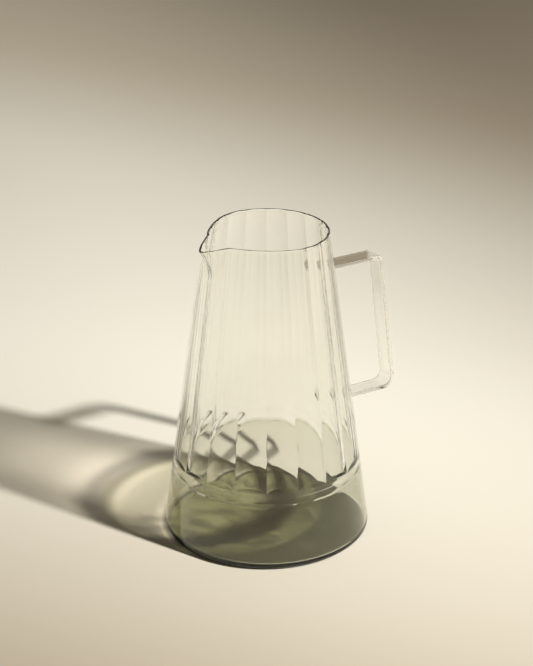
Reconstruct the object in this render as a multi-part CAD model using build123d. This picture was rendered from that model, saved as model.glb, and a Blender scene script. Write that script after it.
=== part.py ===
from build123d import *
import math
import os

# Sizes are in millimetres and angles in degrees. The origin is the centre of the resting face,
# +Z is up, the handle is on +X and the spout faces -X.

# Body: a straight cone from foot to rim, measured on the outer wall
height = 220.0
foot_radius = 72.4
rim_radius = 42.4
seam_height = 46.0
rim_rounding = 0.5
rim_rounding_steps = 3

# Tinted base: a smooth cup
seam_wall = 3.0
foot_wall = 1.8
floor_thickness = 3.0
foot_rounding = 4.0
floor_rounding = 2.5

# Ring: the clear glass swells inwards above the seam, then thins over a shoulder
ring_rise = 6.5
ring_wall = 3.2
shoulder_rise = 15.5
shoulder_steps = 4

# Flutes: shallow hollows in the inner wall above the ring, with soft ridges between them
flute_count = 18
first_ridge_azimuth = -5.0
flute_wall_low = 1.9
flute_wall_rim = 1.3
ridge_wall_low = 3.0
ridge_wall_rim = 2.2
ridge_radius = 2.0
ridge_half_angle = 1.2
fluted_levels = 5

# Pinch: the wall drawn in on both sides of the spout
pinch_depth = 3.8
pinch_turn = 49.0
pinch_width = 52.0
pinch_drop = 55.0

# Spout: the rim pulled out to a lip over a narrow keel, opposite the handle
spout_tip_radius = 56.0
spout_tip_drop = 3.8
spout_depth = 23.0
spout_half_angle = 30.0
spout_keel_half_angle = 10.0
spout_wall = 1.8
spout_flare_power = 1.35
spout_shape_power = 1.8
spout_point_power = 4.5
spout_levels = 7
spout_points = 31
lip_cut_angle = 18.0

# Handle: a flat strap with rounded edges, parallel to the wall
strap_width = 13.5
strap_thickness = 3.0
strap_edge_rounding = 0.8
handle_top = 184.6
handle_bottom = 79.6
arm_fall = 1.5
grip_gap = 44.0
grip_bend_top = 6.0
grip_bend_bottom = 9.0

# Margins: how far cutting shapes run past the glass
rim_overrun = 5.0
spout_overrun = 1.25

# Worked-out values
flute_pitch = 360.0 / flute_count
wall_slope = (foot_radius - rim_radius) / height
ring_top = seam_height + ring_rise
shoulder_top = seam_height + shoulder_rise
spout_azimuth = 180.0
spout_foot = height - spout_depth
pinch_foot = height - pinch_drop
pinch_end = pinch_turn + pinch_width
rim_foot = height - rim_rounding
spout_reach = spout_tip_radius - rim_radius
core_radius = rim_radius / 2.0


def outer_radius(z):
    """Radius of the outer wall at height z."""
    return foot_radius - wall_slope * z


def between(low, high, share):
    """Value that goes evenly from low to high as share goes from 0 to 1."""
    return low + (high - low) * share


def polar(radius, azimuth, z):
    """Point at a radius, azimuth and height."""
    angle = math.radians(azimuth)
    return Vector(radius * math.cos(angle), radius * math.sin(angle), z)


def ease(z, low, high):
    """Soft rise from 0 to 1 as z goes from low to high."""
    share = min(1.0, max(0.0, (z - low) / (high - low)))
    return share * share * (3.0 - 2.0 * share)


def ridge_wall(z):
    """Glass thickness at a ridge: a swelling ring above the seam, then thinner towards the rim."""
    ring = between(seam_wall, ring_wall, ease(z, seam_height, ring_top))
    upper = between(ridge_wall_low, ridge_wall_rim, (z - ring_top) / (height - ring_top))
    return between(ring, upper, ease(z, ring_top, shoulder_top))


def flute_depth(z):
    """Depth of a flute below its ridges at height z, from nothing at the ring's top."""
    rise = min(1.0, max(0.0, (z - ring_top) / (shoulder_top - ring_top)))
    scoop = math.sqrt(1.0 - (1.0 - rise) ** 2)
    share = (z - ring_top) / (height - ring_top)
    ridge = between(ridge_wall_low, ridge_wall_rim, share)
    return scoop * (ridge - between(flute_wall_low, flute_wall_rim, share))


def turn_from_spout(azimuth):
    """Angle between an azimuth and the spout's, without sign."""
    return abs((azimuth - spout_azimuth + 180.0) % 360.0 - 180.0)


def pinch(azimuth, z):
    """How far the wall is drawn in at an azimuth and height."""
    lift = max(0.0, (min(z, height) - pinch_foot) / pinch_drop)
    place = min(1.0, abs(turn_from_spout(azimuth) - pinch_turn) / pinch_width)
    return pinch_depth * lift ** 2 * math.cos(math.radians(90.0 * place)) ** 2


def ridge_azimuth(flute):
    """Azimuth of the ridge at the start of a flute."""
    return first_ridge_azimuth + flute * flute_pitch


def smooth_ring(z, radius):
    """Circle in as many arcs as a fluted ring has, so that the two can be lofted."""
    edges = []
    for flute in range(flute_count):
        ridge = ridge_azimuth(flute)
        start = ridge - ridge_half_angle
        middle = ridge + ridge_half_angle
        end = ridge + flute_pitch - ridge_half_angle
        for low, high in ((start, middle), (middle, end)):
            half = (low + high) / 2.0
            edges.append(ThreePointArc(polar(radius, low, z), polar(radius, half, z), polar(radius, high, z)))
    return Wire(edges)


def pinched(point, z):
    """A point of the inner wall, drawn in by the pinch."""
    azimuth = math.degrees(math.atan2(point.Y, point.X))
    radius = math.hypot(point.X, point.Y)
    return polar(radius - pinch(azimuth, z), azimuth, z)


def fluted_ring(z, flare=0.0):
    """Inner wall at height z: hollow arcs that meet small round ridges without a corner."""
    ridge_inner = outer_radius(z) - ridge_wall(z) + flare
    flute_inner = ridge_inner + flute_depth(z)
    half_pitch = math.radians(flute_pitch / 2.0)
    ridge_centre = ridge_inner + ridge_radius
    across = ridge_centre * math.cos(half_pitch)
    square = flute_inner ** 2 + ridge_centre ** 2 - 2.0 * flute_inner * across
    hollow_radius = (square - ridge_radius ** 2) / (2.0 * (flute_inner - across + ridge_radius))
    hollow_centre = flute_inner - hollow_radius
    edges = []
    for flute in range(flute_count):
        ridge = ridge_azimuth(flute)
        next_ridge = ridge_azimuth(flute + 1)
        ridge_point = polar(ridge_centre, ridge, z)
        joins = []
        for hollow in (ridge - flute_pitch / 2.0, ridge + flute_pitch / 2.0):
            hollow_point = polar(hollow_centre, hollow, z)
            toward = (ridge_point - hollow_point).normalized()
            joins.append(pinched(hollow_point + toward * hollow_radius, z))
        crest = pinched(polar(ridge_inner, ridge, z), z)
        edges.append(ThreePointArc(joins[0], crest, joins[1]))
        hollow_point = polar(hollow_centre, ridge + flute_pitch / 2.0, z)
        toward = (polar(ridge_centre, next_ridge, z) - hollow_point).normalized()
        next_join = pinched(hollow_point + toward * hollow_radius, z)
        bottom = pinched(polar(flute_inner, ridge + flute_pitch / 2.0, z), z)
        edges.append(ThreePointArc(joins[1], bottom, next_join))
    return Wire(edges)


def spout_pull(azimuth, z):
    """How far the spout pulls the wall out at an azimuth and height."""
    share = max(0.0, (z - spout_foot) / spout_depth) ** spout_flare_power
    half_angle = between(spout_keel_half_angle, spout_half_angle, min(1.0, share))
    place = min(1.0, turn_from_spout(azimuth) / half_angle)
    return spout_reach * share * (1.0 - place ** spout_shape_power) ** spout_point_power


def lip_points(z, inset, reach):
    """Points along the pinched and pulled wall at height z, set in by inset, to reach on both sides."""
    points = []
    for step in range(spout_points):
        place = -1.0 + 2.0 * step / (spout_points - 1)
        azimuth = spout_azimuth + reach * place * abs(place)
        radius = outer_radius(z) - inset - pinch(azimuth, z) + spout_pull(azimuth, z)
        points.append(polar(radius, azimuth, z))
    return points


def body_ring(z, inset=0.0):
    """Outer wall at height z, set in by inset: the cone's circle with the pinch and the spout."""
    points = lip_points(z, inset, pinch_end)
    back = polar(outer_radius(z) - inset, spout_azimuth + 180.0, z)
    return Wire([Spline(*points), ThreePointArc(points[-1], back, points[0])])


def spout_hollow_ring(z):
    """Inside of the spout at height z, closed across the body's own hollow."""
    points = lip_points(z, spout_wall, spout_half_angle)
    inside = polar(core_radius, spout_azimuth, z)
    return Wire([Spline(*points), Line(points[-1], inside), Line(inside, points[0])])


def levels(low, high, count):
    """Evenly spaced heights from low to high."""
    return [between(low, high, step / (count - 1)) for step in range(count)]


def rim_curve():
    """Heights up the rim's rounded edge, each with how far the wall has drawn back there."""
    curve = []
    for step in range(rim_rounding_steps + 1):
        turn = math.radians(90.0 * step / rim_rounding_steps)
        curve.append((rim_foot + rim_rounding * math.sin(turn), rim_rounding * (1.0 - math.cos(turn))))
    return curve


def make_body_outside():
    """Solid inside the outer wall from the seam to the rim, with the spout and a rounded rim."""
    lower = Solid.make_loft([body_ring(seam_height), body_ring(pinch_foot)], ruled=True)
    pinched_levels = levels(pinch_foot, spout_foot, spout_levels)
    rings = [body_ring(z) for z in pinched_levels + levels(spout_foot, rim_foot, spout_levels)[1:]]
    upper = Solid.make_loft(rings, ruled=False)
    rim = Solid.make_loft([body_ring(z, drawn_back) for z, drawn_back in rim_curve()], ruled=True)
    return lower + upper + rim


def make_body_hollow():
    """The body's inside: a smooth swelling ring above the seam, then the fluted wall up past the rim."""
    ring = levels(seam_height, ring_top, shoulder_steps)
    shoulder = []
    for step in range(1, shoulder_steps + 1):
        turn = math.radians(90.0 * step / shoulder_steps)
        shoulder.append(between(ring_top, shoulder_top, 1.0 - math.cos(turn)))
    rings = [smooth_ring(z, outer_radius(z) - ridge_wall(z)) for z in ring]
    rings += [fluted_ring(z) for z in shoulder]
    rings += [fluted_ring(z) for z in levels(pinch_foot, rim_foot, fluted_levels)[:-1]]
    rings += [fluted_ring(z, drawn_back) for z, drawn_back in rim_curve()]
    rings.append(fluted_ring(height + rim_overrun, rim_rounding))
    return Solid.make_loft(rings, ruled=True)


def make_spout_hollow():
    """The spout's inside, up past the rim."""
    rings = [spout_hollow_ring(z) for z in levels(spout_foot, height + spout_overrun, spout_levels)]
    return Solid.make_loft(rings, ruled=False)


def make_lip_cut():
    """Space above the lip, which falls evenly from the rim to the spout's tip."""
    start = rim_radius * math.cos(math.radians(lip_cut_angle))
    fall = math.degrees(math.atan2(spout_tip_drop, spout_tip_radius - start))
    size = foot_radius + spout_tip_radius
    block = Pos(size / 2.0, 0, size / 2.0) * Box(size, size, size)
    return Rot(0, 0, spout_azimuth) * Pos(start, 0, height) * Rot(0, fall, 0) * block


def make_fluted_body():
    """Clear fluted body with its spout."""
    body = make_body_outside() - make_body_hollow() - make_spout_hollow() - make_lip_cut()
    return body


def make_tinted_base():
    """Tinted cup: smooth wall, thin floor, rounded foot and a rounded inner corner."""
    cup = Pos(0, 0, seam_height / 2.0) * Cone(foot_radius, outer_radius(seam_height), seam_height)
    foot_edge = cup.edges().sort_by(Axis.Z)[0]
    cup = fillet(foot_edge, foot_rounding)
    hollow_height = seam_height - floor_thickness
    hollow = Pos(0, 0, floor_thickness + hollow_height / 2.0) * Cone(
        outer_radius(floor_thickness) - foot_wall, outer_radius(seam_height) - seam_wall, hollow_height)
    floor_edge = hollow.edges().sort_by(Axis.Z)[0]
    hollow = fillet(floor_edge, floor_rounding)
    return cup - hollow


def make_handle():
    """Flat strap: two arms and a grip parallel to the wall, cut to meet the outer wall."""
    half = strap_thickness / 2.0
    arm_top = handle_top - half
    arm_bottom = handle_bottom + half

    def grip_centre(z):
        return outer_radius(z) + grip_gap + half

    inside = core_radius
    top_corner = Vector(grip_centre(arm_top - arm_fall), 0, arm_top - arm_fall)
    bottom_corner = Vector(grip_centre(arm_bottom - arm_fall), 0, arm_bottom - arm_fall)
    top_start = Vector(inside, 0, arm_top + arm_fall * (outer_radius(arm_top) - inside) / grip_gap)
    bottom_start = Vector(inside, 0, arm_bottom + arm_fall * (outer_radius(arm_bottom) - inside) / grip_gap)
    radii = [grip_bend_top - half, grip_bend_bottom - half]
    path = FilletPolyline(top_start, top_corner, bottom_corner, bottom_start, radius=radii)
    start_direction = (top_corner - top_start).normalized()
    plane = Plane(origin=top_start, x_dir=(0, 1, 0), z_dir=start_direction)
    section = plane * RectangleRounded(strap_width, strap_thickness, strap_edge_rounding)
    strap = sweep(section, path=path)
    wall = Pos(0, 0, height / 2.0) * Cone(foot_radius, rim_radius, height)
    return strap - wall


def write(name, shape):
    """Write one piece to its own file, under the piece's name."""
    solids = shape.solids()
    piece = solids[0] if len(solids) == 1 else max(solids, key=lambda solid: solid.volume)
    piece.label = name
    export_step(piece, f"parts/{name}.step")
    print(name, "volume", round(piece.volume / 1000.0, 2), "cm3, valid", piece.is_valid)


os.makedirs("parts", exist_ok=True)
write("fluted_body", make_fluted_body())
write("tinted_base", make_tinted_base())
write("handle", make_handle())
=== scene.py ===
"""Carafe: a fluted clear glass body, a tinted glass base and a flat strap handle, fused into one."""
import logging
import math
from dataclasses import dataclass
from enum import Enum

import bpy
import numpy as np
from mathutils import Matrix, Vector

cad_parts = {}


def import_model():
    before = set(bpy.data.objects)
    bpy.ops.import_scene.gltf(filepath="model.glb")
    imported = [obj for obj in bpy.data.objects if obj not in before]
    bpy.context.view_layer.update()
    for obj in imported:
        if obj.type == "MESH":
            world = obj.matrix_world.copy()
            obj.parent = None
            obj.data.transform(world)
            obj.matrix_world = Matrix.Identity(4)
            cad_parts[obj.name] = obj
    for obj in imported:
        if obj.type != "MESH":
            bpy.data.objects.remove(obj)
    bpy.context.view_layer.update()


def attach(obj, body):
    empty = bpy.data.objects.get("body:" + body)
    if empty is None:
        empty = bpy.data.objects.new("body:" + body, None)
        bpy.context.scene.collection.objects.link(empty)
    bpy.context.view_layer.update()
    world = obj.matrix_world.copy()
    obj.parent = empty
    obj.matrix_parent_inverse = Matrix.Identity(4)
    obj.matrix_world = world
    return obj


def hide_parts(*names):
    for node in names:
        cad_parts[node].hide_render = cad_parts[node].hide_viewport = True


ROOT_BODY = "root"
WHITE = (1.0, 1.0, 1.0)
SHARP_ANGLE = math.radians(50.0)
GLASS_BOUNCES = 32
TRANSPARENT_BOUNCES = 24
RIPPLE_STRETCH = (1.0, 1.0, 0.35)
RIPPLE_ROUGHNESS = 0.35
NOISE_RANGE = (0.35, 0.65)
LAMP_TOP = 0.220
STREAKS_PER_RADIAN = 45.0
STREAK_DETAIL = 2.0
PATCHES_PER_RADIAN = 6.0
PATCHES_PER_METRE = 90.0
PATCH_DISTORTION = 0.6

Feed = float | tuple[float, ...] | Vector | bpy.types.NodeSocket

log = logging.getLogger("carafe")


def between(low: float, high: float, share: np.ndarray) -> np.ndarray:
    """Value that goes evenly from low to high as share goes from 0 to 1."""
    return low + (high - low) * share


def smooth_step(value: np.ndarray, start: float, end: float) -> np.ndarray:
    """Soft 0 to 1 ramp of value between start and end."""
    share = np.clip((value - start) / (end - start), 0.0, 1.0)
    return share * share * (3.0 - 2.0 * share)


class Side(Enum):
    """Which side of the glass a face is on."""

    INNER = "inner"
    OUTER = "outer"
    # Painted shade on the handle's upper arm, and darker glass on the cup's floor.
    PAINTED_SHADE_AND_DARK_CUP_FLOOR = "toned"
    FUSED = "fused"


MASKED_SIDES = (Side.OUTER, Side.PAINTED_SHADE_AND_DARK_CUP_FLOOR, Side.FUSED)


@dataclass(frozen=True)
class Cone:
    """The straight outer cone that the body and the base share, in metres.

    Args:
        foot_radius: Radius of the cone at the resting face.
        rim_radius: Radius of the cone at the rim.
        height: Height of the rim.
        seam: Height of the fused seam between base and body, on the outer wall.
        seam_slant: How much higher the seam lies on the inner wall.
        seam_wall: Glass thickness of base and body at the seam.
    """

    foot_radius: float = 0.0724
    rim_radius: float = 0.0424
    height: float = 0.220
    seam: float = 0.046
    seam_slant: float = 0.0045
    seam_wall: float = 0.0032

    def radius(self, z: np.ndarray) -> np.ndarray:
        """Outer radius at height z."""
        return between(self.foot_radius, self.rim_radius, z / self.height)


class MeshBuilder:
    """Collects grids of points into one closed mesh."""

    def __init__(self, name: str) -> None:
        """Start an empty mesh.

        Args:
            name: Name of the piece.
        """
        self.name = name
        self.points: list[np.ndarray] = []
        self.faces: list[np.ndarray] = []
        self.sides: list[Side] = []
        self.count = 0

    def add_points(self, points: np.ndarray) -> np.ndarray:
        """Add points.

        Args:
            points: Points, as an array that ends in three coordinates.

        Returns:
            The new points' numbers, in the shape of the array.
        """
        shape = points.shape[:-1]
        flat = points.reshape(-1, 3)
        numbers = np.arange(self.count, self.count + len(flat)).reshape(shape)
        self.points.append(flat)
        self.count += len(flat)
        return numbers

    def add_grid(self, rows: np.ndarray, side: Side) -> None:
        """Add faces between neighbouring rows of point numbers, closed around.

        Args:
            rows: Point numbers, one row for each ring.
            side: The side of the glass that the faces are on.
        """
        nxt = np.roll(rows, -1, axis=1)
        quads = np.stack([rows[:-1], nxt[:-1], nxt[1:], rows[1:]], axis=-1).reshape(-1, 4)
        self.faces.append(quads)
        self.sides += [side] * len(quads)

    def add_fan(self, ring: np.ndarray, centre: np.ndarray, side: Side) -> None:
        """Close a ring with triangles to its centre.

        Args:
            ring: Point numbers of the ring, in the order that faces outwards.
            centre: The centre point.
            side: The side of the glass that the faces are on.
        """
        middle = self.add_points(centre.reshape(1, 3))[0]
        nxt = np.roll(ring, -1)
        triangles = np.stack([ring, nxt, np.full(len(ring), middle)], axis=-1)
        self.faces.append(triangles)
        self.sides += [side] * len(triangles)

    def build(self) -> bpy.types.Object:
        """Make the object.

        Returns:
            The new object, linked to the scene.
        """
        mesh = bpy.data.meshes.new(self.name)
        faces = [tuple(int(i) for i in face) for group in self.faces for face in group]
        mesh.from_pydata(np.concatenate(self.points).tolist(), [], faces)
        for side in MASKED_SIDES:
            mask = mesh.attributes.new(side.value, "FLOAT", "FACE")
            values = np.array([float(own is side) for own in self.sides], dtype=np.float32)
            mask.data.foreach_set("value", values)
        mesh.shade_smooth()
        mesh.set_sharp_from_angle(angle=SHARP_ANGLE)
        mesh.update()
        piece = bpy.data.objects.new(self.name, mesh)
        bpy.context.scene.collection.objects.link(piece)
        return piece


def rings_from_polar(radius: np.ndarray, azimuth: np.ndarray, z: np.ndarray) -> np.ndarray:
    """Points from radius, azimuth and height arrays of one shape."""
    return np.stack([radius * np.cos(azimuth), radius * np.sin(azimuth), z], axis=-1)


@dataclass
class FlutedBody:
    """The clear body: a fluted inner wall, a smooth outer wall and the pulled spout."""

    cone: Cone
    flute_count: int = 18
    flute_turn: float = math.radians(-5.0)
    ring_rise: float = 0.0065
    shoulder_rise: float = 0.0155
    shoulder_runout: float = 0.0006
    crease_rounding: float = 0.0002
    flute_wall_low: float = 0.0019
    flute_wall_rim: float = 0.0013
    ridge_wall_low: float = 0.0030
    ridge_wall_rim: float = 0.0022
    ridge_radius: float = 0.0020
    pinch_depth: float = 0.0038
    pinch_turn: float = math.radians(49.0)
    pinch_width: float = math.radians(52.0)
    pinch_drop: float = 0.055
    spout_azimuth: float = math.pi
    spout_tip_radius: float = 0.056
    spout_tip_drop: float = 0.0038
    spout_depth: float = 0.023
    spout_half_angle: float = math.radians(30.0)
    spout_keel_half_angle: float = math.radians(10.0)
    spout_flare_power: float = 1.35
    spout_shape_power: float = 1.8
    spout_point_power: float = 4.5
    lip_start_angle: float = math.radians(18.0)
    columns_per_flute: int = 24
    column_crowding: float = 0.7
    wall_rows: int = 60
    runout_rows: int = 50
    runout_reach: float = 1.4
    slant_reach: float = 2.0
    least_flute: float = 1e-5
    lip_rounds: int = 6
    rim_segments: int = 8
    seam_rows: int = 3

    def from_spout(self, azimuth: np.ndarray) -> np.ndarray:
        """Angle between an azimuth and the spout's, without sign."""
        return np.abs((azimuth - self.spout_azimuth + math.pi) % (2.0 * math.pi) - math.pi)

    def shift(self, azimuth: np.ndarray, z: np.ndarray) -> np.ndarray:
        """How far the wall stands off the cone: out at the spout, in at the pinch beside it.

        Args:
            azimuth: Azimuth of each point.
            z: Height of each point.

        Returns:
            The shift in metres, positive outwards.
        """
        turn = self.from_spout(azimuth)
        foot = self.cone.height - self.spout_depth
        share = np.clip((z - foot) / self.spout_depth, 0.0, None) ** self.spout_flare_power
        half = between(self.spout_keel_half_angle, self.spout_half_angle, np.minimum(share, 1.0))
        place = np.minimum(turn / half, 1.0)
        bell = (1.0 - place ** self.spout_shape_power) ** self.spout_point_power
        pull = (self.spout_tip_radius - self.cone.rim_radius) * share * bell
        lift = np.clip((z - self.cone.height + self.pinch_drop) / self.pinch_drop, 0.0, 1.0)
        beside = np.minimum(np.abs(turn - self.pinch_turn) / self.pinch_width, 1.0)
        return pull - self.pinch_depth * lift ** 2 * np.cos(math.pi / 2.0 * beside) ** 2

    def outer(self, azimuth: np.ndarray, z: np.ndarray) -> np.ndarray:
        """Outer radius at an azimuth and height."""
        return self.cone.radius(z) + self.shift(azimuth, z)

    def inner(self, azimuth: np.ndarray, z: np.ndarray) -> np.ndarray:
        """Inner radius: the ring over the seam, then flutes that meet soft ridges.

        Args:
            azimuth: Azimuth of each point.
            z: Height of each point.

        Returns:
            The inner radius in metres.
        """
        cone = self.cone
        share = (z - cone.seam) / (cone.height - cone.seam)
        ridge_wall = between(self.ridge_wall_low, self.ridge_wall_rim, share)
        depth = ridge_wall - between(self.flute_wall_low, self.flute_wall_rim, share)
        fluted = self.flute_radius(azimuth, cone.radius(z) - ridge_wall, depth)
        ring_top = cone.seam + self.ring_rise
        rise = smooth_step(z, ring_top, cone.seam + self.shoulder_rise)
        scoop = (cone.seam_wall - self.flute_wall_low + self.shoulder_runout) * rise
        ring = cone.radius(z) - cone.seam_wall + scoop
        apart = np.maximum(self.crease_rounding - np.abs(fluted - ring), 0.0)
        hollow = np.minimum(fluted, ring) - apart ** 2 / (4.0 * self.crease_rounding)
        return hollow + self.shift(azimuth, z)

    def flute_radius(self, azimuth: np.ndarray, ridge_inner: np.ndarray,
                     depth: np.ndarray) -> np.ndarray:
        """Inner radius of the fluted ring.

        Args:
            azimuth: Azimuth of each point.
            ridge_inner: Inner radius at the ridges.
            depth: Depth of the flutes below the ridges.

        Returns:
            The radius at each azimuth.
        """
        pitch = 2.0 * math.pi / self.flute_count
        turn = (azimuth - self.flute_turn + pitch / 2.0) % pitch - pitch / 2.0
        from_ridge = np.abs(turn)
        from_hollow = pitch / 2.0 - from_ridge
        hollow_inner = ridge_inner + depth
        ridge_centre = ridge_inner + self.ridge_radius
        across = ridge_centre * math.cos(pitch / 2.0)
        square = hollow_inner ** 2 + ridge_centre ** 2 - 2.0 * hollow_inner * across
        rise = hollow_inner - across + self.ridge_radius
        hollow_radius = (square - self.ridge_radius ** 2) / (2.0 * rise)
        hollow_centre = hollow_inner - hollow_radius
        reach = hollow_radius / (hollow_radius + self.ridge_radius)
        join_x = hollow_centre + (across - hollow_centre) * reach
        join_y = ridge_centre * math.sin(pitch / 2.0) * reach
        join_turn = np.arctan2(join_y, join_x)
        inside = np.maximum(hollow_radius ** 2 - (hollow_centre * np.sin(from_hollow)) ** 2, 0.0)
        in_hollow = hollow_centre * np.cos(from_hollow) + np.sqrt(inside)
        near = np.maximum(self.ridge_radius ** 2 - (ridge_centre * np.sin(from_ridge)) ** 2, 0.0)
        on_ridge = ridge_centre * np.cos(from_ridge) - np.sqrt(near)
        fluted = np.where(from_hollow < join_turn, in_hollow, on_ridge)
        return np.where(depth > self.least_flute, fluted, ridge_inner)

    def lip_height(self, azimuth: np.ndarray) -> np.ndarray:
        """Height of the rim: level, and falling evenly to the spout's tip.

        Args:
            azimuth: Azimuth of each point.

        Returns:
            The height at each azimuth.
        """
        start = self.cone.rim_radius * math.cos(self.lip_start_angle)
        facing = self.from_spout(azimuth) < self.spout_half_angle
        top = np.full_like(azimuth, self.cone.height)
        for _ in range(self.lip_rounds):
            along = self.outer(azimuth, top) * np.cos(azimuth - self.spout_azimuth)
            share = np.clip((along - start) / (self.spout_tip_radius - start), 0.0, 1.0)
            top = self.cone.height - np.where(facing, self.spout_tip_drop * share, 0.0)
        return top

    def build(self) -> bpy.types.Object:
        """Build the body's closed mesh.

        Returns:
            The body's object.
        """
        mesh = MeshBuilder("clear_fluted_body")
        columns = self.flute_count * self.columns_per_flute
        place = np.arange(columns) / self.columns_per_flute
        crowded = place - self.column_crowding * np.sin(2.0 * math.pi * place) / (2.0 * math.pi)
        azimuth = self.flute_turn + crowded * 2.0 * math.pi / self.flute_count
        top = self.lip_height(azimuth)
        fall = self.cone.height - top
        half_wall = (self.outer(azimuth, top) - self.inner(azimuth, top)) / 2.0
        wall_top = top - half_wall
        steps = np.linspace(0.0, self.runout_reach, self.runout_rows)
        low = self.cone.seam + self.shoulder_rise * steps
        high = np.linspace(0.0, 1.0, self.wall_rows)[1:]
        rows = [np.full(columns, z) for z in low]
        rows += [between(low[-1], wall_top, share) for share in high]
        z = np.stack(rows)
        end = self.cone.seam + self.slant_reach * self.shoulder_rise
        lifted = z + self.cone.seam_slant * (1.0 - smooth_step(z, self.cone.seam, end))
        around = np.broadcast_to(azimuth, z.shape)
        outside = mesh.add_points(rings_from_polar(self.outer(around, z), around, z))
        inside = mesh.add_points(rings_from_polar(self.inner(around, lifted), around, lifted))
        mesh.add_grid(outside, Side.OUTER)
        mesh.add_grid(inside[::-1], Side.INNER)
        outer_top, inner_top = self.outer(azimuth, wall_top), self.inner(azimuth, wall_top)
        middle, half = (outer_top + inner_top) / 2.0, (outer_top - inner_top) / 2.0
        rim = []
        for turn in np.linspace(0.0, math.pi, self.rim_segments + 2)[1:-1]:
            ring_radius = middle + half * math.cos(turn)
            ring_z = wall_top + half_wall * math.sin(turn)
            rim.append(mesh.add_points(rings_from_polar(ring_radius, azimuth, ring_z)))
        mesh.add_grid(np.stack([outside[-1], *rim, inside[-1]]), Side.INNER)
        log.info("rim falls by %.1f mm at the spout", float(fall.max()) * 1000.0)
        seam = []
        for share in np.linspace(0.0, 1.0, self.seam_rows + 2)[1:-1]:
            radius = between(self.inner(azimuth, lifted[0]), self.outer(azimuth, z[0]), share)
            height = between(lifted[0], z[0], share)
            seam.append(mesh.add_points(rings_from_polar(radius, azimuth, height)))
        mesh.add_grid(np.stack([inside[0], *seam, outside[0]]), Side.FUSED)
        return mesh.build()


@dataclass
class TintedBase:
    """The tinted cup: smooth wall, thin floor, rounded foot."""

    cone: Cone
    floor: float = 0.0030
    foot_wall: float = 0.0018
    upper_wall: float = 0.0026
    ring_foot: float = 0.0440
    ring_start: float = 0.0470
    bead_count: int = 18
    bead_turn: float = math.radians(-8.0)
    bead_height: float = 0.0460
    bead_depth: float = 0.00040
    bead_half_height: float = 0.0022
    foot_rounding: float = 0.0040
    floor_rounding: float = 0.0025
    columns: int = 432
    wall_rows: int = 64
    corner_rows: int = 12
    floor_rows: int = 12

    def outside(self) -> list[tuple[float, float]]:
        """Outer profile from the seam down to the axis.

        Returns:
            Radius and height of each point.
        """
        lean = math.atan2(self.cone.foot_radius - self.cone.rim_radius, self.cone.height)
        rounding = self.foot_rounding
        centre_z = rounding
        centre_r = float(self.cone.radius(centre_z)) - rounding / math.cos(lean)
        points = []
        for share in np.linspace(0.0, 1.0, self.wall_rows):
            z = between(self.cone.seam, centre_z + rounding * math.sin(lean), share)
            points.append((float(self.cone.radius(z)), float(z)))
        for turn in np.linspace(lean, -math.pi / 2.0, self.corner_rows + 1)[1:]:
            points.append((centre_r + rounding * math.cos(turn), centre_z + rounding * math.sin(turn)))
        for share in np.linspace(1.0, 0.0, self.floor_rows + 1)[1:-1]:
            points.append((centre_r * share, 0.0))
        return points

    def inner(self, azimuth: np.ndarray, z: np.ndarray) -> np.ndarray:
        """Inner radius of the wall: a taper, the ring over the seam and the beads under it.

        Args:
            azimuth: Azimuth of each point.
            z: Height of each point.

        Returns:
            The inner radius in metres.
        """
        share = np.clip((z - self.floor) / (self.ring_foot - self.floor), 0.0, 1.0)
        taper = between(self.foot_wall, self.upper_wall, share)
        ring = (self.cone.seam_wall - self.upper_wall) * smooth_step(z, self.ring_foot, self.ring_start)
        around = np.cos((azimuth - self.bead_turn) * self.bead_count / 2.0) ** 2
        off = (z - self.bead_height) / self.bead_half_height
        bead = self.bead_depth * around * np.exp(-2.0 * off ** 2)
        return self.cone.radius(z) - taper - ring - bead

    def inside(self) -> list[tuple[float, float]]:
        """Inner profile from the seam down to the axis.

        Returns:
            Share of the wall's radius, and height, of each point.
        """
        rounding = self.floor_rounding
        centre_z = self.floor + rounding
        top = self.cone.seam + self.cone.seam_slant
        wall = float(self.inner(np.zeros(1), np.full(1, centre_z))[0])
        centre_r = wall - rounding
        points = [(1.0, z) for z in np.linspace(top, centre_z, self.wall_rows)]
        for turn in np.linspace(0.0, -math.pi / 2.0, self.corner_rows + 1)[1:]:
            radius = centre_r + rounding * math.cos(turn)
            points.append((radius / wall, centre_z + rounding * math.sin(turn)))
        for share in np.linspace(1.0, 0.0, self.floor_rows + 1)[1:-1]:
            points.append((centre_r * share / wall, self.floor))
        return points

    def build(self) -> bpy.types.Object:
        """Build the base's closed mesh.

        Returns:
            The base's object.
        """
        mesh = MeshBuilder("tinted_glass_base")
        azimuth = np.arange(self.columns) * 2.0 * math.pi / self.columns
        rings = {}
        lowest = self.floor + self.floor_rounding
        for side, profile in (("outside", self.outside()), ("inside", self.inside())):
            shape = (len(profile), self.columns)
            around = np.broadcast_to(azimuth, shape)
            radius = np.broadcast_to(np.array([point[0] for point in profile])[:, None], shape)
            height = np.broadcast_to(np.array([point[1] for point in profile])[:, None], shape)
            if side == "inside":
                radius = radius * self.inner(around, np.maximum(height, lowest))
            rings[side] = mesh.add_points(rings_from_polar(radius, around, height))
        wall = self.wall_rows + self.corner_rows
        mesh.add_grid(rings["outside"][:wall][::-1], Side.OUTER)
        mesh.add_grid(rings["inside"][:wall], Side.INNER)
        # The floor's faces on both sides take the darker glass colour through the mask.
        mesh.add_grid(rings["outside"][wall - 1:][::-1], Side.PAINTED_SHADE_AND_DARK_CUP_FLOOR)
        mesh.add_grid(rings["inside"][wall - 1:], Side.PAINTED_SHADE_AND_DARK_CUP_FLOOR)
        mesh.add_fan(rings["outside"][-1][::-1], np.zeros(3), Side.PAINTED_SHADE_AND_DARK_CUP_FLOOR)
        mesh.add_fan(rings["inside"][-1], np.array([0.0, 0.0, self.floor]), Side.PAINTED_SHADE_AND_DARK_CUP_FLOOR)
        mesh.add_grid(np.stack([rings["outside"][0], rings["inside"][0]]), Side.FUSED)
        return mesh.build()


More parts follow.
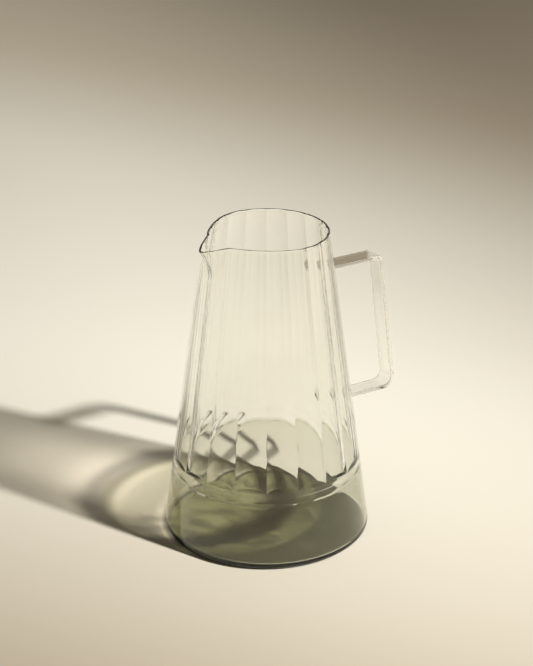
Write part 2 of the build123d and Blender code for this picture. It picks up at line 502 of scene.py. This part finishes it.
@dataclass
class Handle:
    """The clear strap handle: two arms and a grip parallel to the wall."""

    cone: Cone
    width: float = 0.0135
    thickness: float = 0.0030
    edge_rounding: float = 0.0008
    arm_shade_slant: float = 0.70
    arm_shade_fade: float = 0.0007
    top: float = 0.1846
    bottom: float = 0.0796
    arm_fall: float = 0.0015
    grip_gap: float = 0.0440
    bend_top: float = 0.0060
    bend_bottom: float = 0.0090
    section_steps: int = 6
    flat_steps: int = 10
    bend_steps: int = 14
    run_steps: int = 40
    wall_clearance: float = 0.0008
    wall_rounds: int = 12
    least_up: float = 0.4

    def section(self) -> np.ndarray:
        """Rounded rectangle of the strap, with split flats.

        Returns:
            Offsets of each point across and through the strap.
        """
        across = self.width / 2.0 - self.edge_rounding
        through = self.thickness / 2.0 - self.edge_rounding
        corners = []
        for corner, (sign_a, sign_t) in enumerate(((1, 1), (-1, 1), (-1, -1), (1, -1))):
            turns = corner * math.pi / 2.0 + np.linspace(0.0, math.pi / 2.0, self.section_steps)
            middle = np.array([sign_a * across, sign_t * through])
            circle = np.stack([np.cos(turns), np.sin(turns)], axis=-1)
            corners.append(middle + self.edge_rounding * circle)
        points = []
        shares = np.linspace(0.0, 1.0, self.flat_steps)[1:-1]
        for corner, following in zip(corners, corners[1:] + corners[:1]):
            points += [*corner, *(between(corner[-1], following[0], share) for share in shares)]
        return np.array(points)

    def path(self) -> tuple[np.ndarray, np.ndarray]:
        """Centre line in the XZ plane with its bends.

        Returns:
            Points and unit directions, as arrays of two coordinates.
        """
        half = self.thickness / 2.0
        arm_top, arm_bottom = self.top - half, self.bottom + half

        def grip(z: float) -> float:
            """Radius of the grip's centre line at a height."""
            return float(self.cone.radius(z)) + self.grip_gap + half

        inside = self.cone.rim_radius / 2.0

        def start(arm: float) -> np.ndarray:
            """Start of an arm inside the wall, from the arm's height at the wall."""
            reach = (float(self.cone.radius(arm)) - inside) / self.grip_gap
            return np.array([inside, arm + self.arm_fall * reach])

        fallen = [arm - self.arm_fall for arm in (arm_top, arm_bottom)]
        ends = [np.array([grip(z), z]) for z in fallen]
        corners = [start(arm_top), *ends, start(arm_bottom)]
        radii = [self.bend_top - half, self.bend_bottom - half]
        points: list[np.ndarray] = []
        directions: list[np.ndarray] = []
        previous = corners[0]
        for number, radius in enumerate(radii):
            before, corner, after = corners[number], corners[number + 1], corners[number + 2]
            way_in = (corner - before) / np.linalg.norm(corner - before)
            way_out = (after - corner) / np.linalg.norm(after - corner)
            turn = math.acos(float(np.clip(np.dot(way_in, way_out), -1.0, 1.0)))
            cut = radius * math.tan(turn / 2.0)
            begin, end = corner - way_in * cut, corner + way_out * cut
            for share in np.linspace(0.0, 1.0, self.run_steps)[:-1]:
                points.append(previous + (begin - previous) * share)
                directions.append(way_in)
            side = np.array([way_in[1], -way_in[0]])
            centre = begin + side * radius
            for share in np.linspace(0.0, 1.0, self.bend_steps):
                angle = turn * share
                off_side, off_way = side * radius * math.cos(angle), way_in * radius * math.sin(angle)
                points.append(centre - off_side + off_way)
                directions.append(way_in * math.cos(angle) + side * math.sin(angle))
            previous = end
        last = corners[-1]
        way = (last - previous) / np.linalg.norm(last - previous)
        for share in np.linspace(0.0, 1.0, self.run_steps)[1:]:
            points.append(previous + (last - previous) * share)
            directions.append(way)
        return np.array(points), np.array(directions)

    def on_wall(self, points: np.ndarray, way: np.ndarray) -> np.ndarray:
        """Slide points along a direction until they lie on the outer cone.

        Args:
            points: Points near the wall.
            way: Direction towards the wall.

        Returns:
            The points on the wall.
        """
        moved = points.copy()
        for _ in range(self.wall_rounds):
            radius = np.hypot(moved[:, 0], moved[:, 1])
            error = radius - self.cone.radius(moved[:, 2])
            moved = moved + error[:, None] * way
        return moved

    def build(self) -> bpy.types.Object:
        """Build the handle's closed mesh.

        Returns:
            The handle's object.
        """
        mesh = MeshBuilder("clear_strap_handle")
        line, way = self.path()
        outside_wall = line[:, 0] > self.cone.radius(line[:, 1]) + self.wall_clearance
        line, way = line[outside_wall], way[outside_wall]
        offsets = self.section()
        rows = []
        for point, direction in zip(line, way):
            centre = np.array([point[0], 0.0, point[1]])
            through = np.array([direction[1], 0.0, -direction[0]])
            across = np.array([0.0, 1.0, 0.0])
            rows.append(centre + offsets[:, :1] * across + offsets[:, 1:] * through)
        first_way = -np.array([way[0][0], 0.0, way[0][1]])
        last_way = np.array([way[-1][0], 0.0, way[-1][1]])
        rows.insert(0, self.on_wall(rows[0], first_way))
        rows.append(self.on_wall(rows[-1], last_way))
        numbers = mesh.add_points(np.stack(rows))
        mesh.add_grid(numbers[::-1], Side.OUTER)
        ends = ((rows[0], numbers[0], first_way), (rows[-1], numbers[-1][::-1], last_way))
        for ring, ring_numbers, end_way in ends:
            centre = self.on_wall(ring.mean(axis=0, keepdims=True), end_way)[0]
            mesh.add_fan(ring_numbers, centre, Side.FUSED)
        piece = mesh.build()
        # Painted shade on the upper arm's top.
        self.paint_arm_top_shade(piece.data)
        return piece

    def paint_arm_top_shade(self, mesh: bpy.types.Mesh) -> None:
        """Paint shade on the upper arm's top: a mask of its upward faces, with a soft slanted end at
        the bend.

        Args:
            mesh: The handle's mesh.
        """
        mesh.attributes.remove(mesh.attributes[Side.PAINTED_SHADE_AND_DARK_CUP_FLOOR.value])
        toned = mesh.attributes.new(Side.PAINTED_SHADE_AND_DARK_CUP_FLOOR.value, "FLOAT", "POINT")
        end = float(self.cone.radius(self.top)) + self.grip_gap
        for vertex in mesh.vertices:
            place = vertex.co
            past_end = place.x - end - self.arm_shade_slant * (place.y - self.width / 2.0)
            if place.z > self.top - self.thickness and vertex.normal.z > self.least_up:
                gone = smooth_step(past_end, -self.arm_shade_fade, self.arm_shade_fade)
                toned.data[vertex.index].value = 1.0 - gone


@dataclass(frozen=True)
class LampStop:
    """How much of a lamp's light one level of a wall lets through.

    Args:
        height: Height above the resting face.
        centre: Share let through where the light meets the wall squarely.
        edge: Share let through where the light grazes the wall.
    """

    height: float
    centre: float
    edge: float


@dataclass(frozen=True)
class GlassFinish:
    """A glass and how it lets light through.

    Args:
        slot: Slot of the record's material, which names the material too.
        colour: Colour of the surface, linear.
        through: Colour that lamps keep after one inner surface, linear.
        lee: Lamp light let through by the wall on the shadow's side, from low to high.
        bright: The same for the wall on the lamp's side.
        streaks: Depth of the fine upright streaks in that light, on the shadow's side.
        patches: Depth of the soft patches in it on the lamp's side, above the foot of the wall.
        painted_shade_and_dark_cup_floor_colour: Colour of the surface on the masked faces, linear, or
            None for no change: a painted brown shade on the handle's upper arm, darker glass on the
            cup's floor.
        grazing: Where the light starts to graze the wall and where it fully does, from 0 to 1.
        absorb: Colour of the glass by volume, linear, or None.
        density: Absorption per metre.
        ior: Refractive index.
        ripple: Height of the surface ripple, in metres.
        ripple_scale: Ripples per metre.
        lines: Fine upright lines per radian.
        line_height: Their height, as a share of the ripple's.
    """

    slot: str
    colour: tuple[float, float, float]
    through: tuple[float, float, float]
    lee: tuple[LampStop, ...]
    bright: tuple[LampStop, ...]
    streaks: float = 0.0
    patches: float = 0.0
    painted_shade_and_dark_cup_floor_colour: tuple[float, float, float] | None = None
    grazing: tuple[float, float] = (0.28, 0.68)
    absorb: tuple[float, float, float] | None = None
    density: float = 0.0
    ior: float = 1.5
    ripple: float = 0.00006
    ripple_scale: float = 60.0
    lines: float = 70.0
    line_height: float = 0.10


class Wiring:
    """Adds nodes to a tree and feeds their inputs."""

    def __init__(self, tree: bpy.types.NodeTree) -> None:
        """Work on a node tree."""
        self.nodes, self.links = tree.nodes, tree.links

    def feed(self, node: bpy.types.Node, inputs: dict[str | int, Feed]) -> bpy.types.Node:
        """Set or link inputs of a node.

        Args:
            node: The node.
            inputs: Constant or socket for each input, by its name or number. A colour has no alpha.

        Returns:
            The node.
        """
        for key, value in inputs.items():
            socket = node.inputs[key]
            if isinstance(value, bpy.types.NodeSocket):
                self.links.new(value, socket)
            elif socket.type == "RGBA":
                socket.default_value = (*value, 1.0)
            else:
                socket.default_value = value
        return node

    def add(self, kind: str, inputs: dict[str | int, Feed] | None = None) -> bpy.types.Node:
        """Add a node of a type and feed its inputs."""
        return self.feed(self.nodes.new(kind), inputs or {})

    def math(self, operation: str, *values: Feed) -> bpy.types.NodeSocket:
        """Add a node that calculates with numbers.

        Args:
            operation: What it does.
            values: Its numbers, as constants or sockets.

        Returns:
            The result's socket.
        """
        node = self.nodes.new("ShaderNodeMath")
        node.operation = operation
        return self.feed(node, dict(enumerate(values))).outputs["Value"]

    def measure(self, operation: str, *vectors: Feed) -> bpy.types.NodeSocket:
        """Add a node that calculates a number from vectors.

        Args:
            operation: What it does.
            vectors: Its vectors, as constants or sockets.

        Returns:
            The result's socket.
        """
        node = self.nodes.new("ShaderNodeVectorMath")
        node.operation = operation
        return self.feed(node, dict(enumerate(vectors))).outputs["Value"]

    def place(self) -> tuple[bpy.types.NodeSocket, bpy.types.NodeSocket, bpy.types.NodeSocket]:
        """Add the place on the object.

        Returns:
            Sockets of the place, of its azimuth and of its height.
        """
        place = self.add("ShaderNodeTexCoord").outputs["Object"]
        split = self.add("ShaderNodeSeparateXYZ", {"Vector": place}).outputs
        return place, self.math("ARCTAN2", split["Y"], split["X"]), split["Z"]

    def noise(self, dimensions: str, inputs: dict[str | int, Feed]) -> bpy.types.NodeSocket:
        """Add a noise.

        Args:
            dimensions: Its dimensions.
            inputs: What its inputs get, as in feed.

        Returns:
            The noise's socket.
        """
        node = self.nodes.new("ShaderNodeTexNoise")
        node.noise_dimensions = dimensions
        return self.feed(node, inputs).outputs["Fac"]

    def ramp(self, value: Feed, start: Feed, end: Feed, kind: str = "LINEAR",
             low: float = 0.0) -> bpy.types.NodeSocket:
        """Map a value to a share.

        Args:
            value: The value.
            start: Value that gives the lowest share.
            end: Value that gives 1.
            kind: How it goes from one to the other.
            low: The lowest share.

        Returns:
            The share's socket.
        """
        node = self.nodes.new("ShaderNodeMapRange")
        node.interpolation_type = kind
        inputs = {"Value": value, "From Min": start, "From Max": end, "To Min": low}
        return self.feed(node, inputs).outputs["Result"]

    def blend(self, factor: Feed, low: Feed, high: Feed, kind: str = "MIX") -> bpy.types.NodeSocket:
        """Mix two colours.

        Args:
            factor: What mixes them.
            low: Colour at factor 0.
            high: Colour at factor 1.
            kind: How they mix.

        Returns:
            The mixed colour's socket.
        """
        node = self.nodes.new("ShaderNodeMix")
        node.data_type = "RGBA"
        node.blend_type = kind
        return self.feed(node, {"Factor": factor, "A": low, "B": high}).outputs["Result"]


def new_group(name: str, inputs: dict[str, str], outputs: dict[str, str]) -> bpy.types.NodeTree:
    """Make an empty node group.

    Args:
        name: Its name.
        inputs: Socket type of each input.
        outputs: Socket type of each output.

    Returns:
        The group.
    """
    group = bpy.data.node_groups.new(name, "ShaderNodeTree")
    for direction, sockets in (("INPUT", inputs), ("OUTPUT", outputs)):
        for socket, kind in sockets.items():
            group.interface.new_socket(socket, in_out=direction, socket_type=kind)
    return group


def ripple_group() -> bpy.types.NodeTree:
    """Group that gives the slow ripple and the fine upright lines of hand-worked glass.

    Returns:
        The node group, with inputs Scale, Lines and Line Height and output Height.
    """
    name = "glass_ripple"
    if name in bpy.data.node_groups:
        return bpy.data.node_groups[name]
    number = "NodeSocketFloat"
    group = new_group(name, {"Scale": number, "Lines": number, "Line Height": number},
                      {"Height": number})
    wiring = Wiring(group)
    asked = wiring.add("NodeGroupInput").outputs
    place, azimuth, height = wiring.place()
    stretched = wiring.add("ShaderNodeMapping", {"Vector": place, "Scale": RIPPLE_STRETCH})
    ripple = wiring.noise("3D", {"Vector": stretched.outputs["Vector"], "Scale": asked["Scale"],
                                 "Detail": 1.0, "Roughness": RIPPLE_ROUGHNESS})
    around = wiring.add("ShaderNodeCombineXYZ", {"X": azimuth, "Y": height})
    lines = wiring.noise("2D", {"Vector": around.outputs["Vector"], "Scale": asked["Lines"],
                                "Detail": 1.0})
    total = wiring.math("MULTIPLY_ADD", lines, asked["Line Height"], ripple)
    wiring.add("NodeGroupOutput", {"Height": total})
    return group


class LampLight(Wiring):
    """Nodes that give the colour that lamps keep after one surface of a glass."""

    def __init__(self, tree: bpy.types.NodeTree, finish: GlassFinish) -> None:
        """Work on the nodes of a finish's material."""
        super().__init__(tree)
        self.finish = finish

    def over_height(self, level: bpy.types.NodeSocket, stops: tuple[LampStop, ...],
                    edge: bool) -> bpy.types.NodeSocket:
        """Add a colour ramp over height.

        Args:
            level: Height as a share of the carafe's.
            stops: Levels from low to high.
            edge: Whether the ramp holds the grazing shares instead of the square ones.

        Returns:
            The ramp's colour socket.
        """
        node = self.add("ShaderNodeValToRGB", {"Fac": level})
        elements = node.color_ramp.elements
        elements.remove(elements[1])
        for number, stop in enumerate(stops):
            element = elements[0] if number == 0 else elements.new(stop.height / LAMP_TOP)
            element.position = stop.height / LAMP_TOP
            share = stop.edge if edge else stop.centre
            element.color = (share, share, share, 1.0)
        return node.outputs["Color"]

    def times(self, colour: bpy.types.NodeSocket, share: bpy.types.NodeSocket) -> bpy.types.NodeSocket:
        """Multiply a colour by a share."""
        return self.blend(1.0, colour, share, "MULTIPLY")

    def streaks(self, azimuth: bpy.types.NodeSocket) -> bpy.types.NodeSocket:
        """Add the fine upright streaks, as the share of light that each lets through."""
        noise = self.noise("1D", {"W": azimuth, "Scale": STREAKS_PER_RADIAN, "Detail": STREAK_DETAIL})
        return self.ramp(noise, *NOISE_RANGE, low=1.0 - self.finish.streaks)

    def patches(self, azimuth: bpy.types.NodeSocket, height: bpy.types.NodeSocket,
                level: bpy.types.NodeSocket) -> bpy.types.NodeSocket:
        """Add the soft patches that flutes and ring throw into the cup.

        Args:
            azimuth: Azimuth.
            height: Height in metres.
            level: Height as a share of the carafe's.

        Returns:
            The share of light that each patch lets through.
        """
        up = self.math("MULTIPLY", height, PATCHES_PER_METRE / PATCHES_PER_RADIAN)
        around = self.add("ShaderNodeCombineXYZ", {"X": azimuth, "Y": up})
        noise = self.noise("2D", {"Vector": around.outputs["Vector"], "Scale": PATCHES_PER_RADIAN,
                                  "Detail": 1.0, "Distortion": PATCH_DISTORTION})
        shares = self.ramp(noise, *NOISE_RANGE, low=1.0 - self.finish.patches)
        zone = self.over_height(level, PATCH_ZONE, False)
        return self.add("ShaderNodeMix", {"Factor": zone, "A": 1.0, "B": shares}).outputs["Result"]

    def colour(self, outer: bpy.types.NodeSocket, toned: bpy.types.NodeSocket) -> bpy.types.NodeSocket:
        """Add the whole set of nodes.

        Args:
            outer: Mask of the outer side.
            toned: Mask of the faces with painted shade on the handle's upper arm and darker glass on
                the cup's floor.

        Returns:
            The colour's socket.
        """
        _, azimuth, height = self.place()
        level = self.ramp(height, 0.0, LAMP_TOP)
        facing = self.add("ShaderNodeLayerWeight", {"Blend": 0.5}).outputs["Facing"]
        grazing = self.ramp(facing, *self.finish.grazing, "SMOOTHSTEP")
        lee, bright = (
            self.blend(grazing, *(self.over_height(level, stops, edge) for edge in (False, True)))
            for stops in (self.finish.lee, self.finish.bright))
        streaked = self.times(lee, self.streaks(azimuth))
        patched = self.times(bright, self.patches(azimuth, height, level))
        surface = self.add("ShaderNodeNewGeometry")
        lamp_side = self.blend(surface.outputs["Backfacing"], streaked, patched)
        wall = self.blend(outer, self.finish.through, lamp_side)
        # Masked faces keep their second colour for lamps too, so the arm's painted shade also darkens
        # its cast shadow.
        if self.finish.painted_shade_and_dark_cup_floor_colour is None:
            return wall
        return self.blend(toned, wall, self.finish.painted_shade_and_dark_cup_floor_colour)


def glass_material(finish: GlassFinish) -> bpy.types.Material:
    """Make a glass that refracts for the eye and lets lamps through.

    Args:
        finish: The glass.

    Returns:
        The material.
    """
    material = bpy.data.materials.new(finish.slot)
    material.use_nodes = True
    material.node_tree.nodes.clear()
    wiring = LampLight(material.node_tree, finish)

    def mask(side: Side) -> bpy.types.NodeSocket:
        """Socket of the mask of a side."""
        node = wiring.add("ShaderNodeAttribute")
        node.attribute_name = side.value
        return node.outputs["Fac"]

    # Masked faces take a second colour: a painted brown shade on the handle's upper arm, darker glass
    # on the cup's floor.
    toned = mask(Side.PAINTED_SHADE_AND_DARK_CUP_FLOOR)
    colour = finish.colour
    if finish.painted_shade_and_dark_cup_floor_colour is not None:
        colour = wiring.blend(toned, colour, finish.painted_shade_and_dark_cup_floor_colour)
    ripple = wiring.add("ShaderNodeGroup")
    ripple.node_tree = ripple_group()
    wiring.feed(ripple, {"Scale": finish.ripple_scale, "Lines": finish.lines,
                         "Line Height": finish.line_height})
    bump = wiring.add("ShaderNodeBump", {"Strength": 1.0, "Distance": finish.ripple,
                                         "Height": ripple.outputs["Height"]})
    glass = wiring.add("ShaderNodeBsdfPrincipled", {
        "Base Color": colour, "Roughness": 0.0, "IOR": finish.ior, "Transmission Weight": 1.0,
        "Normal": bump.outputs["Normal"], "Alpha": wiring.math("SUBTRACT", 1.0, mask(Side.FUSED))})
    kept = wiring.colour(mask(Side.OUTER), toned)
    for_lamps = wiring.add("ShaderNodeBsdfTransparent", {"Color": kept})
    path = wiring.add("ShaderNodeLightPath")
    shader = wiring.add("ShaderNodeMixShader", {
        "Fac": path.outputs["Is Shadow Ray"], 1: glass.outputs["BSDF"], 2: for_lamps.outputs["BSDF"]})
    output = wiring.add("ShaderNodeOutputMaterial", {"Surface": shader.outputs["Shader"]})
    if finish.absorb is not None:
        volume = wiring.add("ShaderNodeVolumeAbsorption", {
            "Color": finish.absorb, "Density": finish.density})
        wiring.feed(output, {"Volume": volume.outputs["Volume"]})
    return material


def stops(*rows: tuple[float, float, float]) -> tuple[LampStop, ...]:
    """Levels of a wall from rows of height, centre and edge."""
    return tuple(LampStop(*row) for row in rows)


PATCH_ZONE = stops((0.029, 0.0, 0.0), (0.034, 1.0, 1.0), (0.095, 1.0, 1.0), (0.110, 0.0, 0.0))

CLEAR = GlassFinish(
    slot="clear_glass", colour=(0.985, 0.985, 0.97), through=(1.0, 0.985, 0.955),
    lee=stops((0.048, 0.83, 0.12), (0.052, 0.80, 0.10), (0.056, 0.78, 0.12), (0.060, 1.02, 0.10),
              (0.064, 1.42, 0.18), (0.068, 1.50, 0.33), (0.076, 1.27, 0.54), (0.082, 1.09, 0.57),
              (0.094, 0.93, 0.49), (0.110, 0.82, 0.46), (0.127, 0.65, 0.45), (0.147, 0.48, 0.40),
              (0.170, 0.39, 0.38)),
    bright=stops((0.046, 0.12, 0.10), (0.058, 0.12, 0.10), (0.068, 1.20, 1.00), (0.098, 1.20, 1.00),
                 (0.112, 1.00, 0.93)),
    streaks=0.25, patches=0.55, grazing=(0.20, 0.52))
# Its mask colour makes the glass of the cup's floor darker.
TINTED = GlassFinish(
    slot="tinted_glass", colour=(0.97, 0.97, 0.955), through=(1.0, 0.985, 0.955),
    lee=stops((0.001, 0.30, 0.12), (0.003, 1.00, 0.50), (0.006, 1.04, 0.50), (0.010, 0.84, 0.39),
              (0.022, 0.95, 0.37), (0.030, 1.10, 0.34), (0.0335, 1.30, 0.25), (0.0365, 1.38, 0.28),
              (0.0395, 1.22, 0.22), (0.0425, 0.73, 0.12), (0.046, 0.90, 0.08)),
    bright=stops((0.028, 0.28, 0.24), (0.033, 0.78, 0.65), (0.042, 0.78, 0.65), (0.046, 0.16, 0.13)),
    streaks=0.15, patches=0.55, painted_shade_and_dark_cup_floor_colour=(0.872, 0.884, 0.815),
    absorb=(0.44, 0.46, 0.24), density=125.0)
# The handle's mask colour is a painted brown shade on the upper arm's top, standing in for the dark its
# flat top shows; it darkens the arm's shadow too.
STRAP = GlassFinish(
    slot="handle_glass", colour=(0.985, 0.985, 0.97), through=(0.80, 0.79, 0.77),
    lee=stops((0.100, 0.60, 0.25)), bright=stops((0.100, 0.60, 0.25)),
    painted_shade_and_dark_cup_floor_colour=(0.21, 0.17, 0.12))


@dataclass(frozen=True)
class Falloff:
    """A soft ramp along the floor over which its colour fades: painted shade standing in for the light
    falling off on it.

    Args:
        azimuth: Direction of the ramp, in the camera's frame.
        start: Where the ramp starts, as distance from the carafe's axis along its direction.
        width: Length of the ramp.
        keep: Share of the floor's colour, and so of its painted light, left at its end, linear.
    """

    azimuth: float
    start: float
    width: float
    keep: tuple[float, float, float]


def falloff_group() -> bpy.types.NodeTree:
    """Group that fades a colour along a direction.

    Returns:
        The node group, with inputs Colour, Direction, Start, End and Keep and output Colour.
    """
    name = "floor_falloff"
    if name in bpy.data.node_groups:
        return bpy.data.node_groups[name]
    number, colour = "NodeSocketFloat", "NodeSocketColor"
    group = new_group(name, {"Colour": colour, "Direction": "NodeSocketVector", "Start": number,
                             "End": number, "Keep": colour}, {"Colour": colour})
    wiring = Wiring(group)
    asked = wiring.add("NodeGroupInput").outputs
    place = wiring.add("ShaderNodeTexCoord").outputs["Object"]
    along = wiring.measure("DOT_PRODUCT", place, asked["Direction"])
    far = wiring.ramp(along, asked["Start"], asked["End"], "SMOOTHSTEP")
    kept = wiring.blend(far, WHITE, asked["Keep"])
    wiring.add("NodeGroupOutput", {"Colour": wiring.blend(1.0, asked["Colour"], kept, "MULTIPLY")})
    return group


@dataclass
class Studio:
    """Floor, light and camera that show the carafe as the photograph does."""

    handle_turn: float = math.radians(35.0)
    camera_distance: float = 1.2406
    camera_height: float = 0.6933
    camera_pitch: float = math.radians(23.85)
    focal_pixels: float = 1987.0
    frame_height: float = 666.0
    sensor: float = 36.0
    light_turn: float = math.radians(-30.0)
    light_distance: float = 1.877
    light_height: float = 1.566
    light_radius: float = 0.065
    light_strength: float = 1.24
    light_colour: tuple[float, float, float] = (1.0, 0.985, 0.95)
    floor_size: float = 14.0
    floor_drop: float = 0.0001
    floor_roughness: float = 0.85
    floor_specular: float = 0.2
    floor_colour: tuple[float, float, float] = (0.840, 0.804, 0.699)
    # Painted shade on the floor: ramps that fade its colour.
    falloffs: tuple[Falloff, ...] = (
        Falloff(math.radians(60.0), 0.55, 0.42, (0.82, 0.76, 0.69)),
        Falloff(math.radians(255.0), -0.295, 0.88, (0.19, 0.11, 0.02)),
        Falloff(math.radians(17.0), -0.04, 0.70, (0.39, 0.37, 0.345)),
    )
    far_start: float = 0.45
    far_end: float = 1.1
    far_colour: tuple[float, float, float] = (0.62, 0.57, 0.47)
    world_colour: tuple[float, float, float] = (0.12, 0.11, 0.09)
    sky_in_glass: tuple[tuple[float, tuple[float, float, float]], ...] = (
        (0.15, (0.70, 0.64, 0.54)), (0.5, (0.13, 0.11, 0.08)))

    def turned(self, azimuth: float, distance: float, height: float) -> Vector:
        """Point in the part's frame from an azimuth in the camera's frame."""
        angle = azimuth - self.handle_turn
        return Vector((distance * math.cos(angle), distance * math.sin(angle), height))

    def add_camera(self) -> None:
        """Add the camera at the photograph's viewing angle."""
        data = bpy.data.cameras.new("camera")
        data.sensor_fit = "VERTICAL"
        data.sensor_height = self.sensor
        data.lens = self.focal_pixels / self.frame_height * self.sensor
        camera = bpy.data.objects.new("camera", data)
        camera.location = self.turned(-math.pi / 2.0, self.camera_distance, self.camera_height)
        camera.rotation_euler = (math.pi / 2.0 - self.camera_pitch, 0.0, -self.handle_turn)
        bpy.context.scene.collection.objects.link(camera)
        bpy.context.scene.camera = camera

    def add_light(self) -> None:
        """Add the one small, warm key light."""
        data = bpy.data.lights.new("key", "AREA")
        data.shape = "DISK"
        data.size = 2.0 * self.light_radius
        data.color = self.light_colour
        place = self.turned(self.light_turn, self.light_distance, self.light_height)
        slant = self.light_height / place.length
        data.energy = self.light_strength * math.pi ** 2 * place.length ** 2 / slant
        light = bpy.data.objects.new("key", data)
        light.location = place
        light.rotation_euler = (-place).to_track_quat("-Z", "Y").to_euler()
        bpy.context.scene.collection.objects.link(light)

    def add_world(self) -> None:
        """Add the dim surroundings."""
        world = bpy.data.worlds.new("surroundings")
        world.use_nodes = True
        wiring = Wiring(world.node_tree)
        path = wiring.add("ShaderNodeLightPath").outputs
        in_glass = wiring.math("MAXIMUM", path["Is Glossy Ray"], path["Is Transmission Ray"])
        place = wiring.add("ShaderNodeTexCoord").outputs["Generated"]
        split = wiring.add("ShaderNodeSeparateXYZ", {"Vector": place})
        ramp = wiring.add("ShaderNodeValToRGB", {"Fac": split.outputs["Z"]})
        ramp.color_ramp.interpolation = "EASE"
        for number, (position, colour) in enumerate(self.sky_in_glass):
            ramp.color_ramp.elements[number].position = position
            ramp.color_ramp.elements[number].color = (*colour, 1.0)
        shade = wiring.blend(in_glass, self.world_colour, ramp.outputs["Color"])
        wiring.feed(world.node_tree.nodes["Background"], {"Color": shade})
        bpy.context.scene.world = world

    def add_floor(self) -> None:
        """Add the pale floor, its colour faded by painted shade along the falloffs."""
        half = self.floor_size / 2.0
        mesh = bpy.data.meshes.new("floor")
        corners = [(-half, -half, 0.0), (half, -half, 0.0), (half, half, 0.0), (-half, half, 0.0)]
        mesh.from_pydata(corners, [], [(0, 1, 2, 3)])
        floor = bpy.data.objects.new("floor", mesh)
        floor.location.z = -self.floor_drop
        bpy.context.scene.collection.objects.link(floor)
        material = bpy.data.materials.new("pale_floor")
        material.use_nodes = True
        wiring = Wiring(material.node_tree)
        colour = self.floor_colour
        for falloff in self.falloffs:
            fade = wiring.add("ShaderNodeGroup")
            fade.node_tree = falloff_group()
            wiring.feed(fade, {
                "Colour": colour, "Direction": self.turned(falloff.azimuth, 1.0, 0.0),
                "Start": falloff.start, "End": falloff.start + falloff.width, "Keep": falloff.keep})
            colour = fade.outputs["Colour"]
        wiring.feed(material.node_tree.nodes["Principled BSDF"], {
            "Base Color": colour, "Roughness": self.floor_roughness,
            "Specular IOR Level": self.floor_specular, "Emission Color": self.far_colour,
            "Emission Strength": self.far_glow(wiring)})
        mesh.materials.append(material)

    def far_glow(self, wiring: Wiring) -> bpy.types.NodeSocket:
        """Add the glow that keeps the floor bright far away, where only the glass shows it.

        Args:
            wiring: The floor's nodes.

        Returns:
            The glow's strength.
        """
        place = wiring.add("ShaderNodeTexCoord").outputs["Object"]
        far = wiring.ramp(wiring.measure("LENGTH", place), self.far_start, self.far_end, "SMOOTHSTEP")
        path = wiring.add("ShaderNodeLightPath")
        indirect = wiring.math("SUBTRACT", 1.0, path.outputs["Is Camera Ray"])
        return wiring.math("MULTIPLY", far, indirect)

    def build(self) -> None:
        """Build the whole stage, the view transform and the paths of light through glass."""
        self.add_camera()
        self.add_light()
        self.add_world()
        self.add_floor()
        scene = bpy.context.scene
        scene.view_settings.view_transform = "Standard"
        scene.cycles.caustics_refractive = False
        scene.cycles.caustics_reflective = False
        scene.cycles.max_bounces = GLASS_BOUNCES
        scene.cycles.glossy_bounces = GLASS_BOUNCES
        scene.cycles.transmission_bounces = GLASS_BOUNCES
        scene.cycles.transparent_max_bounces = TRANSPARENT_BOUNCES


def dress(piece: bpy.types.Object, finish: GlassFinish, node: str) -> None:
    """Give a piece its glass and put it in the frame in place of its node.

    Args:
        piece: The piece.
        finish: Its glass.
        node: The node that it replaces.
    """
    piece.data.materials.append(glass_material(finish))
    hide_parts(node)
    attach(piece, ROOT_BODY)
    log.info("%s: %d faces", piece.name, len(piece.data.polygons))


def main() -> None:
    """Build the carafe and its stage around the frame."""
    logging.basicConfig(level=logging.INFO, format="%(name)s: %(message)s")
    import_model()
    cone = Cone()
    dress(FlutedBody(cone).build(), CLEAR, "fluted_body")
    dress(TintedBase(cone).build(), TINTED, "tinted_base")
    dress(Handle(cone).build(), STRAP, "handle")
    Studio().build()


if __name__ == "__main__":
    main()
